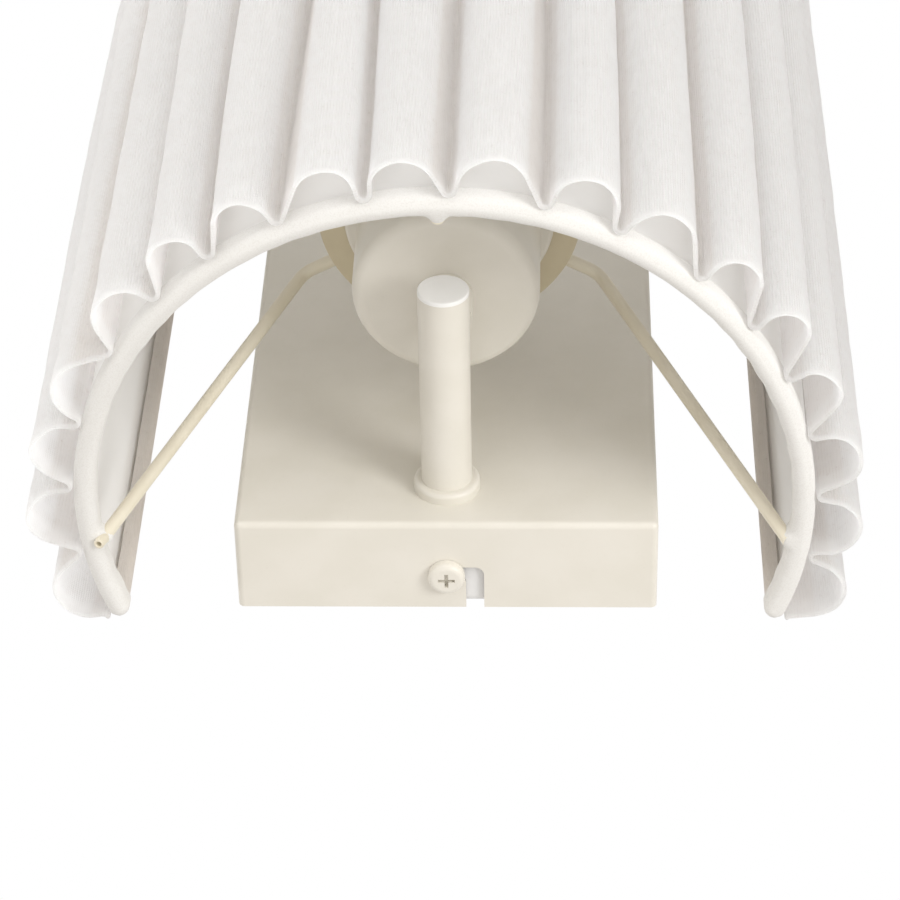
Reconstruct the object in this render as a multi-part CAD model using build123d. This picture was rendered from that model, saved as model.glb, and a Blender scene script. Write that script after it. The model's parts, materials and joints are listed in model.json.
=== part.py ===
from build123d import *
import math
import os

# A wall light: a fabric half-round shade with soft flutes, carried by an upright lampholder on a
# post that stands out of a shallow steel backplate. Millimetres. The wall is the plane y = 0, the
# room lies towards -Y, +Z is up and the origin is the centre of the bracket's wall face.

os.makedirs("parts", exist_ok=True)

# ---- backplate cover ----
box_width = 100.0
box_height = 200.0
box_depth = 25.0
sheet = 1.0
box_edge_radius = 1.5
box_least_inner_radius = 0.3

# ---- wall bracket ----
strap_width = 34.0
strap_thickness = 1.5
strap_bend_radius = 1.2
flange_depth = 18.0
flange_corner_radius = 4.0
flange_clearance = 0.3
cable_hole_radius = 9.0
cable_hole_z = 26.0
wall_slot_width = 4.5
wall_slot_length = 12.0
wall_slot_spacing = 120.0

# ---- cover screws and the slots they hold ----
screw_from_wall = 9.9
screw_radius = 1.95
screw_length = 8.0
tapped_hole_radius = 2.0
tapped_boss_radius = 3.6
tapped_boss_height = 2.0
screw_head_radius = 4.4
screw_head_height = 2.5
screw_head_round = 1.5
screw_head_clearance = 0.1
recess_depth = 1.5
recess_span = 4.0
recess_width = 0.9
slot_width = 4.3
release_travel = 6.7

# ---- post ----
post_above_box_bottom = 15.0
post_radius = 6.0
post_bore_radius = 4.0
cup_axis_from_box = 44.5
post_past_cup_axis = 12.0
end_cap_thickness = 1.0
end_cap_plug_length = 4.0
end_cap_edge_radius = 0.4
collar_reach = 1.9
collar_height = 2.8
collar_edge_radius = 1.1
spigot_radius = 5.0
spigot_length = 8.0
hole_clearance = 0.15
thread_clearance = 0.05
washer_thickness = 1.0
washer_radius = 8.5
washer_teeth = 12
washer_notch_radius = 0.9
nut_across_flats = 14.0
nut_height = 3.0

# ---- neck, nipple and lampholder cup ----
neck_reach = 0.5
neck_height = 8.7
neck_skirt = 1.0
nipple_bore_radius = 3.5
nipple_length = 24.0
cup_wall = 1.0
cup_gap = 1.1
cup_height = 32.8
cup_edge_radius = 3.0
lip_reach = 3.4
lip_thickness = 2.5
lip_edge_radius = 1.0

# ---- lampholder ----
lampholder_radius = 20.0
lampholder_wall = 2.5
lampholder_floor = 3.0
lampholder_hub_radius = 9.0
lampholder_hub_height = 5.0
terminal_chamber_height = 9.0
carrier_thickness = 7.5
carrier_pocket_depth = 3.5
carrier_pocket_radius = 11.5
carrier_step = 1.5
carrier_clearance = 0.1
skirt_above_cup = 26.5
shell_radius = 13.3
shell_wall = 0.7
shell_height = 26.7
shell_flange = 2.5
lamp_terminal_length = 5.0
lamp_terminal_width = 6.0
lamp_terminal_height = 6.0
lamp_terminal_from_axis = 10.5
tongue_width = 5.0
tongue_thickness = 0.5
tongue_length = 8.6
tongue_tip_length = 3.5
tongue_overhang = 2.0
tongue_root_gap = 0.4
seat_length = 1.4
seat_thickness = 0.6
rivet_radius = 0.6
rivet_height = 1.0
seat_gap = 0.25
tongue_rise = 3.0

# ---- shade ring ----
shade_ring_reach = 6.0
shade_ring_height = 8.0
shade_ring_flange = 2.0
shade_ring_bevel = 1.0
shade_ring_step = 2.0
shade_ring_taper = 0.4
shade_ring_bore_clearance = 0.06
shade_ring_gap = 0.2

# ---- shade carrier ----
spider_bore_clearance = 0.6
spider_thickness = 1.5
spider_gap = 0.3
arm_radius = 1.6
arm_past_shade_ring = 1.0
arm_weld_length = 5.0
arm_weld_depth = 0.15
arm_bend_past_spider = 9.0
arm_bend_radius = 5.0
arm_tail = 0.8
side_arm_angle = 118.0

# ---- shade ----
shade_height = 220.0
shade_below_box = 10.0
shade_centre_from_wall = 36.0
rim_radius = 83.0
tape_play = 0.425
tape_thickness = 0.5
tape_height = 6.0
wire_radius = 1.3
wire_inside_liner = 0.15
wire_below_tape_centre = 0.2
liner_thickness = 0.6
liner_from_rim = 1.6
frame_end_from_wall = 6.9
tape_past_frame = 0.3
strip_reach = 6.5
strip_outer_reach = 6.0
strip_gap = 0.05
strip_end_gap = 0.1

# ---- pleated cover ----
flute_count = 18
flute_height = 11.35
cloth_past_tape = 0.9
cloth_thickness = 1.0
cloth_clearance = 0.05
valley_curve_radius = 2.4
least_flank = 0.15
hem_inset = 0.4

# ---- terminal block and leads ----
block_width = 30.0
block_depth = 14.0
block_height = 17.0
block_above_post = 55.0
block_chamfer = 0.8
block_slit_width = 1.4
block_slit_depth = 3.0
block_web_height = 8.0
tube_from_cover = 7.7
tube_inset = 2.0
pole_spacing = 10.0
tunnel_radius = 1.75
tube_radius = 2.4
block_screw_radius = 1.5
block_screw_head_radius = 1.9
block_screw_head_height = 2.0
block_screw_inset = 1.0
block_screw_slot_depth = 0.8
block_screw_slot_width = 0.7
stud_radius = 1.5
stud_nut_across_flats = 5.5
stud_nut_height = 2.4
stud_clearance = 0.1
stud_past_nut = 0.8
stud_end_chamfer = 0.3
lead_radius = 1.2
lead_clearance = 0.1
lead_offset = 1.35
lead_drop_from_wall = 9.0
lead_into_block = 3.0
lead_bend_radius = 6.0
lead_corner_radius = 4.4
lead_bend_height = 12.0
lead_lean = 3.0
lead_bend_past_spigot = 2.0
lead_tail_bend_radius = 4.2

# ---- earth parts ----
earth_screw_radius = 1.95
earth_head_radius = 3.8
earth_head_height = 2.6
earth_head_chamfer = 0.5
earth_slit_depth = 1.2
earth_slit_width = 1.0
earth_screw_short_of_wall = 0.2
earth_washer_radius = 4.6
earth_washer_thickness = 0.8
earth_screw_length = 4.0
earth_screw_z = -8.0
earth_screw_x = 10.5
cover_stud_x = 30.0
cover_stud_above_post = 23.0
cover_stud_length = 9.0
cover_nut_across_flats = 7.0
cover_nut_height = 3.2
tag_thickness = 0.8
tag_radius = 4.2
tag_barrel_length = 6.0
tag_barrel_radius = 1.8
tag_neck_length = 1.0

# ---- worked-out places ----
box_bottom = -box_height / 2
box_top = box_height / 2
box_face = -box_depth
box_inner_face = box_face + sheet
post_z = box_bottom + post_above_box_bottom
cup_y = box_face - cup_axis_from_box
collar_radius = post_radius + collar_reach
neck_radius = post_radius + neck_reach
shade_ring_radius = lampholder_radius + shade_ring_reach
post_end = cup_y - post_past_cup_axis
cup_inner_radius = lampholder_radius + cup_gap
cup_radius = cup_inner_radius + cup_wall
cup_bottom = post_z + post_radius + neck_height
cup_lip_top = cup_bottom + cup_height + lip_thickness
lip_radius = cup_radius + lip_reach
spider_radius = shade_ring_radius + arm_past_shade_ring + arm_weld_length
spider_z = cup_lip_top + spider_gap
spider_top = spider_z + spider_thickness
spider_bore = lampholder_radius + spider_bore_clearance
shade_ring_z = spider_top + shade_ring_gap
body_bottom = cup_bottom + cup_wall + washer_thickness + nut_height + lampholder_hub_height
body_floor_top = body_bottom + lampholder_floor
carrier_z = body_floor_top + terminal_chamber_height
carrier_top = carrier_z + carrier_thickness
pocket_floor = carrier_top - carrier_pocket_depth
body_top = cup_lip_top + skirt_above_cup
nipple_top = body_bottom + lampholder_floor
nipple_bottom = nipple_top - nipple_length
shade_y = -shade_centre_from_wall
shade_bottom = box_bottom - shade_below_box
shade_top = shade_bottom + shade_height
rim_pack = liner_thickness + wire_inside_liner + 2 * wire_radius
rim_bend = rim_pack / 2 + tape_play + tape_thickness
tape_width = 2 * rim_bend
liner_radius = rim_radius + rim_pack / 2
liner_inner = liner_radius - liner_thickness
wire_ring_radius = liner_inner - wire_inside_liner - wire_radius
wire_z_inset = rim_bend - wire_below_tape_centre
rim_wire_z = shade_bottom + wire_z_inset
frame_end_back = shade_centre_from_wall - frame_end_from_wall
frame_half_angle = 90 + math.degrees(math.asin(frame_end_back / wire_ring_radius))
end_half_angle = frame_half_angle + tape_past_frame
arm_end_radius = wire_ring_radius - wire_radius - arm_radius + arm_weld_depth
flute_pitch = 2 * (end_half_angle + cloth_past_tape) / flute_count
block_z = post_z + block_above_post
block_bottom = block_z - block_height / 2
block_back = box_inner_face + block_depth
tube_y = box_inner_face + tube_from_cover
cover_stud_z = post_z + cover_stud_above_post
spigot_end = box_inner_face + spigot_length
lower_middle = (Align.CENTER, Align.CENTER, Align.MIN)


# ---- helpers ----
def save(name, shape):
    # One file for each piece.
    shape.label = name
    export_step(shape, f"parts/{name}.step")
    print(name, round(shape.volume, 1))


def upright(radius, z_low, z_high, x=0.0, y=0.0):
    # A round bar along Z.
    return Pos(x, y, z_low) * Cylinder(radius, z_high - z_low, align=lower_middle)


def level(radius, y_far, y_near, x=0.0, z=0.0):
    # A round bar along Y, from y_far (the lower value) to y_near.
    return Pos(x, y_near, z) * Rot(90, 0, 0) * Cylinder(radius, y_near - y_far, align=lower_middle)


def block(x_low, x_high, y_low, y_high, z_low, z_high):
    # A square-edged block between two corners.
    size = (x_high - x_low, y_high - y_low, z_high - z_low)
    centre = ((x_low + x_high) / 2, (y_low + y_high) / 2, (z_low + z_high) / 2)
    return Pos(*centre) * Box(*size)


def turned(points, y):
    # A closed outline of (radius, height) points, turned round the upright axis at y.
    with BuildSketch(Plane.XZ) as outline:
        with BuildLine():
            Polyline(*points, close=True)
        make_face()
    return Pos(0, y, 0) * revolve(outline.sketch, Axis.Z)


def hexagon(across_flats, height):
    # A hexagonal prism standing on the XY plane.
    return extrude(RegularPolygon(across_flats / 2, 6, major_radius=False), height)


def rings_of(shape, radius, z):
    # The round edges of a turned piece that have a radius and lie at a height.
    rings = shape.edges().filter_by(GeomType.CIRCLE)
    return [e for e in rings if abs(e.radius - radius) < 0.01 and abs(e.center().Z - z) < 0.01]


def wire_along(points, radii, radius):
    # A round wire of straight runs and tangent arcs.
    path = FilletPolyline(*points, radius=radii)
    start = Plane(origin=path @ 0, z_dir=path % 0)
    return sweep(start * Circle(radius), path=path)


def round_the_shade(section, half_angle):
    # A section drawn in XZ, carried round the shade's axis, centred on the front.
    ring = revolve(section, Axis.Z, revolution_arc=2 * half_angle)
    return Pos(0, shade_y, 0) * Rot(0, 0, -90 - half_angle) * ring


def shade_point(radius, angle):
    # A point at an angle from the front of the shade, positive towards +X.
    turn = math.radians(angle)
    return (radius * math.sin(turn), shade_y - radius * math.cos(turn))


# ---- backplate cover and its screws ----
def slot_cut(side):
    # The L-shaped slot: in from the wall edge, then across to the screw. side is -1 or 1.
    half = slot_width / 2
    z_low, z_high = sorted((side * (box_height / 2 + 1), side * (box_height / 2 - 2 * sheet)))
    reach = block(release_travel - half, release_travel + half, -screw_from_wall, 1, z_low, z_high)
    across = block(0, release_travel, -screw_from_wall - half, -screw_from_wall + half, z_low, z_high)
    blind = upright(half, z_low, z_high, 0, -screw_from_wall)
    corner = upright(half, z_low, z_high, release_travel, -screw_from_wall)
    return reach + across + blind + corner


def make_cover():
    shell = block(-box_width / 2, box_width / 2, box_face, 0, box_bottom, box_top)
    room_edges = shell.edges().filter_by(lambda e: e.center().Y < -0.01)
    shell = fillet(room_edges, box_edge_radius)
    inner_radius = max(box_edge_radius - sheet, box_least_inner_radius)
    hollow = block(
        -box_width / 2 + sheet, box_width / 2 - sheet, box_inner_face, 1, box_bottom + sheet, box_top - sheet
    )
    hollow_edges = hollow.edges().filter_by(lambda e: e.center().Y < 0.9)
    shell -= fillet(hollow_edges, inner_radius)
    shell -= slot_cut(-1) + slot_cut(1)
    shell -= level(spigot_radius + hole_clearance, box_face - 1, box_inner_face + 1, 0, post_z)
    return shell


def make_cover_screw(side):
    # A pan head outside the cover and a shank through the slot into the bracket's flange.
    seat = box_height / 2 + screw_head_clearance
    head = upright(screw_head_radius, seat, seat + screw_head_height)
    head = fillet(head.edges().group_by(Axis.Z)[-1], screw_head_round)
    recess_floor = seat + screw_head_height - recess_depth
    for turn in (0, 90):
        bar = Box(recess_span, recess_width, recess_depth + 1, align=lower_middle)
        head -= Pos(0, 0, recess_floor) * Rot(0, 0, turn) * bar
    shank = upright(screw_radius, seat - screw_length, seat + screw_head_height / 4)
    screw = Pos(0, -screw_from_wall, 0) * (head + shank)
    return screw if side > 0 else Pos(0, -2 * screw_from_wall, 0) * Rot(180, 0, 0) * screw


# ---- wall bracket ----
def make_bracket():
    outer_z = box_height / 2 - sheet - flange_clearance
    bend = strap_bend_radius + strap_thickness
    body = block(-strap_width / 2, strap_width / 2, -flange_depth, 0, -outer_z, outer_z)
    back_ends = body.edges().filter_by(Axis.X).filter_by(lambda e: e.center().Y > -0.01)
    body = fillet(back_ends, bend)
    inner_z = outer_z - strap_thickness
    hollow = block(
        -strap_width, strap_width, -2 * flange_depth, -strap_thickness, -inner_z, inner_z
    )
    hollow_ends = hollow.edges().filter_by(Axis.X).filter_by(lambda e: e.center().Y > -2 * strap_thickness)
    body -= fillet(hollow_ends, strap_bend_radius)
    flange_corners = body.edges().filter_by(Axis.Z).filter_by(lambda e: e.center().Y < -flange_depth + 0.1)
    body = fillet(flange_corners, flange_corner_radius)
    for side in (-1, 1):
        low, high = sorted((side * inner_z, side * (inner_z - tapped_boss_height)))
        body += upright(tapped_boss_radius, low, high, 0, -screw_from_wall)
        body -= upright(tapped_hole_radius, min(low, side * outer_z) - 1, max(high, side * outer_z) + 1,
                        0, -screw_from_wall)
        slot = Pos(0, 0, side * wall_slot_spacing / 2) * Rot(90, 0, 0) * Rot(0, 0, 90)
        outline = SlotOverall(wall_slot_length, wall_slot_width)
        body -= slot * extrude(outline, strap_thickness * 2, both=True)
    body -= level(cable_hole_radius, -2 * strap_thickness, 1, 0, cable_hole_z)
    body -= level(tapped_hole_radius, -2 * strap_thickness, 1, earth_screw_x, earth_screw_z)
    return body


def make_earth_washer():
    seat = -strap_thickness
    ring = level(earth_washer_radius, seat - earth_washer_thickness, seat, earth_screw_x, earth_screw_z)
    bore = earth_screw_radius + hole_clearance
    return ring - level(bore, seat - 2, seat + 1, earth_screw_x, earth_screw_z)


def make_earth_screw():
    seat = -strap_thickness - earth_washer_thickness
    head = level(earth_head_radius, seat - earth_head_height, seat, earth_screw_x, earth_screw_z)
    head = chamfer(head.edges().group_by(Axis.Y)[0], earth_head_chamfer)
    slit = block(
        earth_screw_x - earth_head_radius, earth_screw_x + earth_head_radius,
        seat - earth_head_height - 1, seat - earth_head_height + earth_slit_depth,
        earth_screw_z - earth_slit_width / 2, earth_screw_z + earth_slit_width / 2
    )
    shank_end = min(seat + earth_screw_length, -earth_screw_short_of_wall)
    shank = level(earth_screw_radius, seat - earth_head_height / 4, shank_end, earth_screw_x, earth_screw_z)
    return head - slit + shank


# ---- post ----
def make_collar():
    collar = level(collar_radius, box_face - collar_height, box_face, 0, post_z)
    collar = fillet(collar.edges().group_by(Axis.Y)[0], collar_edge_radius)
    bore = level(spigot_radius + hole_clearance, box_face - collar_height - 1, box_face + 1, 0, post_z)
    return collar - bore


def make_post():
    shoulder = box_face - collar_height
    front = post_end + end_cap_thickness
    tube = level(post_radius, front, shoulder, 0, post_z)
    tube += level(spigot_radius, shoulder - 1, box_inner_face + spigot_length, 0, post_z)
    tube -= level(post_bore_radius, front - 1, box_inner_face + spigot_length + 1, 0, post_z)
    return tube - upright(spigot_radius + thread_clearance, post_z, post_z + 2 * post_radius, 0, cup_y)


def make_end_cap():
    cap = level(post_radius, post_end, post_end + end_cap_thickness, 0, post_z)
    cap = fillet(cap.edges().group_by(Axis.Y)[0], end_cap_edge_radius)
    plug_end = post_end + end_cap_thickness + end_cap_plug_length
    plug_start = post_end + end_cap_thickness / 2
    return cap + level(post_bore_radius - thread_clearance, plug_start, plug_end, 0, post_z)


def make_post_washer():
    ring = level(washer_radius, box_inner_face, box_inner_face + washer_thickness, 0, post_z)
    bore = level(spigot_radius + hole_clearance, box_inner_face - 1, box_inner_face + 3, 0, post_z)
    for tooth in range(washer_teeth):
        turn = math.radians(360 / washer_teeth * tooth)
        ring -= level(
            washer_notch_radius, box_inner_face - 1, box_inner_face + 3,
            washer_radius * math.cos(turn), post_z + washer_radius * math.sin(turn)
        )
    return ring - bore


def make_post_nut():
    seat = box_inner_face + washer_thickness
    nut = Pos(0, seat + nut_height, post_z) * Rot(90, 0, 0) * hexagon(nut_across_flats, nut_height)
    return nut - level(spigot_radius + thread_clearance, seat - 1, seat + nut_height + 1, 0, post_z)


# ---- neck, nipple and cup ----
def make_neck():
    neck = upright(neck_radius, post_z + post_radius - neck_skirt, cup_bottom, 0, cup_y)
    neck -= level(post_radius + thread_clearance, post_end - 5, box_face, 0, post_z)
    return neck - upright(spigot_radius + hole_clearance, post_z, cup_bottom + 1, 0, cup_y)


def make_nipple():
    tube = upright(spigot_radius, nipple_bottom, nipple_top, 0, cup_y)
    return tube - upright(nipple_bore_radius, nipple_bottom - 1, nipple_top + 1, 0, cup_y)


def make_cup():
    lip_bottom = cup_bottom + cup_height
    outline = [
        (spigot_radius + hole_clearance, cup_bottom),
        (cup_radius, cup_bottom),
        (cup_radius, lip_bottom),
        (lip_radius, lip_bottom),
        (lip_radius, cup_lip_top),
        (cup_inner_radius, cup_lip_top),
        (cup_inner_radius, cup_bottom + cup_wall),
        (spigot_radius + hole_clearance, cup_bottom + cup_wall),
    ]
    cup = turned(outline, cup_y)
    cup = fillet(rings_of(cup, cup_radius, cup_bottom), cup_edge_radius)
    cup = fillet(rings_of(cup, cup_inner_radius, cup_bottom + cup_wall), cup_edge_radius - cup_wall)
    lip_edges = rings_of(cup, lip_radius, lip_bottom) + rings_of(cup, lip_radius, cup_lip_top)
    return fillet(lip_edges, min(lip_edge_radius, 0.45 * lip_thickness))


def make_cup_washer():
    seat = cup_bottom + cup_wall
    ring = upright(washer_radius, seat, seat + washer_thickness, 0, cup_y)
    return ring - upright(spigot_radius + hole_clearance, seat - 1, seat + 3, 0, cup_y)


def make_cup_nut():
    seat = cup_bottom + cup_wall + washer_thickness
    nut = Pos(0, cup_y, seat) * hexagon(nut_across_flats, nut_height)
    return nut - upright(spigot_radius + thread_clearance, seat - 1, seat + nut_height + 1, 0, cup_y)


# ---- lampholder ----
def make_lampholder_body():
    hub_bottom = body_bottom - lampholder_hub_height
    bore = spigot_radius + thread_clearance
    chamber = lampholder_radius - lampholder_wall - carrier_step
    outline = [
        (bore, hub_bottom),
        (lampholder_hub_radius, hub_bottom),
        (lampholder_hub_radius, body_bottom),
        (lampholder_radius, body_bottom),
        (lampholder_radius, body_top),
        (lampholder_radius - lampholder_wall, body_top),
        (lampholder_radius - lampholder_wall, carrier_z),
        (chamber, carrier_z),
        (chamber, body_floor_top),
        (bore, body_floor_top),
    ]
    return turned(outline, cup_y)


def make_carrier():
    disc = upright(lampholder_radius - lampholder_wall - carrier_clearance, carrier_z, carrier_top, 0, cup_y)
    return disc - upright(carrier_pocket_radius, pocket_floor, carrier_top + 1, 0, cup_y)


def make_shell():
    outer = shell_radius + shell_wall
    outline = [
        (shell_radius - shell_flange, carrier_top),
        (outer, carrier_top),
        (outer, carrier_top + shell_height),
        (shell_radius, carrier_top + shell_height),
        (shell_radius, carrier_top + shell_wall),
        (shell_radius - shell_flange, carrier_top + shell_wall),
    ]
    return turned(outline, cup_y)


def make_lamp_terminal(side):
    length, width, height = lamp_terminal_length, lamp_terminal_width, lamp_terminal_height
    x = side * lamp_terminal_from_axis
    body = block(x - length / 2, x + length / 2, cup_y - width / 2, cup_y + width / 2,
                 carrier_z - height, carrier_z)
    bore = lead_radius + lead_clearance
    entry = Pos(x, cup_y, carrier_z - height / 2) * Rot(0, 90, 0) * Cylinder(bore, length + 2)
    return body - entry


def make_tongue():
    # A spring strip that rises from its fixed end to the middle of the socket.
    root = (tongue_length, pocket_floor + tongue_root_gap)
    tip = (-tongue_overhang, pocket_floor + tongue_rise)
    knee = (tongue_tip_length - tongue_overhang, pocket_floor + tongue_rise)
    with BuildSketch(Plane.XZ) as side_view:
        with BuildLine():
            Polyline(
                root, knee, tip,
                (tip[0], tip[1] + tongue_thickness), (knee[0], knee[1] + tongue_thickness),
                (root[0], root[1] + tongue_thickness), close=True
            )
        make_face()
    return Pos(0, cup_y, 0) * extrude(side_view.sketch, tongue_width / 2, both=True)


def make_tongue_seat():
    # The fixed pad that the spring strip is riveted to.
    inner = tongue_length + seat_gap
    pad = block(inner, inner + seat_length, cup_y - tongue_width / 2, cup_y + tongue_width / 2,
                pocket_floor, pocket_floor + seat_thickness)
    rivet_x = inner + seat_length / 2
    return pad + upright(rivet_radius, pocket_floor, pocket_floor + rivet_height, rivet_x, cup_y)


def make_shade_ring():
    bore = lampholder_radius + shade_ring_bore_clearance
    step_radius = shade_ring_radius - shade_ring_step
    outline = [
        (bore, shade_ring_z),
        (shade_ring_radius, shade_ring_z),
        (shade_ring_radius, shade_ring_z + shade_ring_flange),
        (step_radius, shade_ring_z + shade_ring_flange + shade_ring_bevel),
        (step_radius - shade_ring_taper, shade_ring_z + shade_ring_height),
        (bore, shade_ring_z + shade_ring_height),
    ]
    return turned(outline, cup_y)


# ---- shade carrier ----
def make_spider_ring():
    ring = upright(spider_radius, spider_z, spider_top, 0, cup_y)
    return ring - upright(spider_bore, spider_z - 1, spider_top + 1, 0, cup_y)


def arm_reach(angle):
    # How far from the lampholder's axis an arm meets the rim wire's inner side.
    turn = math.radians(angle)
    offset = cup_y - shade_y
    along = offset * math.cos(turn)
    return along + math.sqrt(along ** 2 - offset ** 2 + arm_end_radius ** 2)


def make_arm(angle, radius=arm_radius):
    # Level over the spider ring, then a bend and a straight run down to the lower rim wire.
    turn = math.radians(angle)
    across, back = math.sin(turn), -math.cos(turn)
    bend_reach, bend_z = spider_radius + arm_bend_past_spider, spider_top + arm_radius - arm_weld_depth
    fall, spread = rim_wire_z - bend_z, arm_reach(angle) - bend_reach
    stretch = 1 + arm_tail / math.hypot(fall, spread)
    places = [
        (spider_radius - arm_weld_length, bend_z),
        (bend_reach, bend_z),
        (bend_reach + spread * stretch, bend_z + fall * stretch),
    ]
    points = [(reach * across, cup_y + reach * back, z) for reach, z in places]
    return wire_along(points, arm_bend_radius, radius)


# ---- shade frame, liner and trims ----
def make_rim_wire(z):
    return round_the_shade(Plane.XZ * Pos(wire_ring_radius, z) * Circle(wire_radius), frame_half_angle)


def make_upright_wire(side):
    x, y = shade_point(wire_ring_radius, side * frame_half_angle)
    inset = wire_z_inset + wire_radius + cloth_clearance
    return upright(wire_radius, shade_bottom + inset, shade_top - inset, x, y)


def make_liner():
    z_low, z_high = shade_bottom + liner_from_rim, shade_top - liner_from_rim
    middle = Pos((liner_inner + liner_radius) / 2, (z_low + z_high) / 2)
    return round_the_shade(Plane.XZ * middle * Rectangle(liner_thickness, z_high - z_low), frame_half_angle)


def tape_section(centre, low, high):
    # A U of tape open at the top, its bend centred at a radius, kept between two radii.
    bend_z = shade_bottom + rim_bend
    wall = tape_height - rim_bend
    outer = Pos(centre, bend_z) * Circle(rim_bend)
    outer += Pos(centre, bend_z + wall / 2) * Rectangle(tape_width, wall)
    inner = Pos(centre, bend_z) * Circle(rim_bend - tape_thickness)
    inner += Pos(centre, bend_z + wall) * Rectangle(tape_width - 2 * tape_thickness, 2 * wall)
    window = Pos((low + high) / 2, bend_z) * Rectangle(high - low, 4 * tape_height)
    return Plane.XZ * ((outer - inner) & window)


def make_tape():
    # The channel round the rim, with each end closed by half a turn of the same section.
    tape = round_the_shade(tape_section(rim_radius, rim_radius - tape_width, rim_radius + tape_width),
                           end_half_angle)
    dome = revolve(tape_section(0, 0, tape_width), Axis.Z, revolution_arc=180)
    for side in (-1, 1):
        x, y = shade_point(rim_radius, side * end_half_angle)
        tape += Pos(x, y, 0) * Rot(0, 0, side * (end_half_angle - 90)) * dome
    return tape


def make_lower_tape():
    tape = make_tape()
    for angle in (-side_arm_angle, 0, side_arm_angle):
        tape -= make_arm(angle, arm_radius + cloth_clearance)
    return tape


def make_upper_tape():
    return mirror(make_tape(), Plane.XY.offset((shade_bottom + shade_top) / 2))


def make_edge_strip(side):
    # A strip of cloth folded round the upright wire and the liner's edge. Its section has
    # x along the shade away from the front, and y towards the shade's axis.
    end_inset = tape_height + strip_end_gap
    bend = rim_bend - tape_thickness
    inner_tip = rim_radius - math.sqrt((liner_inner - strip_gap) ** 2 - strip_reach ** 2)
    outer_tip = rim_radius - math.sqrt((rim_radius + bend) ** 2 - strip_outer_reach ** 2)
    with BuildSketch() as section:
        with BuildLine():
            Polyline((0, -bend), (-strip_outer_reach, outer_tip),
                     (-strip_outer_reach, outer_tip - tape_thickness), (0, -rim_bend))
            ThreePointArc((0, -rim_bend), (rim_bend, 0), (0, rim_bend))
            Polyline((0, rim_bend), (-strip_reach, inner_tip + tape_thickness),
                     (-strip_reach, inner_tip), (0, bend))
            ThreePointArc((0, bend), (bend, 0), (0, -bend))
        make_face()
    x, y = shade_point(rim_radius, end_half_angle)
    place = Pos(x, y, shade_bottom + end_inset) * Rot(0, 0, end_half_angle)
    strip = place * extrude(section.sketch, shade_height - 2 * end_inset)
    return strip if side > 0 else mirror(strip, Plane.YZ)


# ---- pleated cover ----
def on_fold(fold, turn_radius, way):
    # A point on a fold's arc, seen from the fold's centre at an angle from the front.
    x, y = shade_point(*fold)
    heading = math.radians(way)
    return (x + turn_radius * math.sin(heading), y - turn_radius * math.cos(heading))


def pleat_face(offset):
    # One face of the cloth from the left edge to the right, as lists of 2 points for a straight
    # flank and 3 for an arc. The offset is outwards from the middle of the cloth. Each flute is a
    # crest arc joined to half a valley arc on each side by their inner tangents.
    contact = rim_radius + rim_bend + cloth_clearance + cloth_thickness / 2
    valley_centre = contact + valley_curve_radius
    half = math.radians(flute_pitch / 2)
    run = valley_centre * math.sin(half)
    depth = contact + flute_height - cloth_thickness - valley_centre * math.cos(half)
    touching = (run ** 2 + depth ** 2 - valley_curve_radius ** 2) / (2 * (valley_curve_radius + depth))
    crest_curve = min(run - valley_curve_radius, touching - least_flank)
    crest_centre = contact + flute_height - cloth_thickness - crest_curve
    rise = depth - crest_curve
    spread = math.acos(min(1.0, (crest_curve + valley_curve_radius) / math.hypot(run, rise)))
    tilt = math.degrees(spread - math.atan2(rise, run))
    crest, valley = crest_curve + offset, valley_curve_radius - offset
    pieces = []
    for flute in range(flute_count):
        left = -flute_count * flute_pitch / 2 + flute * flute_pitch
        middle, right = left + flute_pitch / 2, left + flute_pitch
        folds = {
            "left": ((valley_centre, left), valley),
            "top": ((crest_centre, middle), crest),
            "right": ((valley_centre, right), valley),
        }

        def arc(fold, start, end):
            place, radius = folds[fold]
            return [on_fold(place, radius, start + (end - start) * share) for share in (0, 0.5, 1)]

        rising = arc("left", left + 180, middle + 90 + tilt)
        first_top = arc("top", middle - 90 + tilt, middle)
        last_top = arc("top", middle, middle + 90 - tilt)
        falling = arc("right", middle - 90 - tilt, right - 180)
        pieces += [rising, [rising[-1], first_top[0]], first_top]
        pieces += [last_top, [last_top[-1], falling[0]], falling]
    return pieces


def make_pleats():
    outer = pleat_face(cloth_thickness / 2)
    inner = pleat_face(-cloth_thickness / 2)
    ends = [[outer[0][0], inner[0][0]], [outer[-1][-1], inner[-1][-1]]]
    with BuildSketch() as section:
        with BuildLine():
            for piece in outer + inner + ends:
                if len(piece) == 3:
                    ThreePointArc(*piece)
                else:
                    Line(*piece)
        make_face()
    return Pos(0, 0, shade_bottom + hem_inset) * extrude(section.sketch, shade_height - 2 * hem_inset)


# ---- terminal block ----
live_pole, neutral_pole, earth_pole = -pole_spacing, 0, pole_spacing
pole_places = [live_pole, neutral_pole, earth_pole]
screw_rows = (-block_height / 4, block_height / 4)
stud_x = pole_spacing / 2


def make_terminal_block():
    body = block(-block_width / 2, block_width / 2, box_inner_face, block_back, block_bottom,
                 block_bottom + block_height)
    body = chamfer(body.edges().filter_by(Axis.Y), block_chamfer)
    for x in pole_places:
        body -= upright(tube_radius + thread_clearance, block_bottom - 1, block_bottom + block_height + 1,
                        x, tube_y)
        for row in screw_rows:
            body -= level(block_screw_head_radius + stud_clearance, tube_y, block_back + 1, x, block_z + row)
    for x in (-pole_spacing / 2, pole_spacing / 2):
        slit = block(x - block_slit_width / 2, x + block_slit_width / 2, block_back - block_slit_depth,
                     block_back + 1, block_bottom - 1, block_bottom + block_height + 1)
        web = block(x - block_slit_width, x + block_slit_width, box_inner_face, block_back + 2,
                    block_z - block_web_height / 2, block_z + block_web_height / 2)
        body -= slit - web
        body -= level(stud_radius + stud_clearance, box_inner_face - 1, block_back + 1, x, block_z)
    return body


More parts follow.
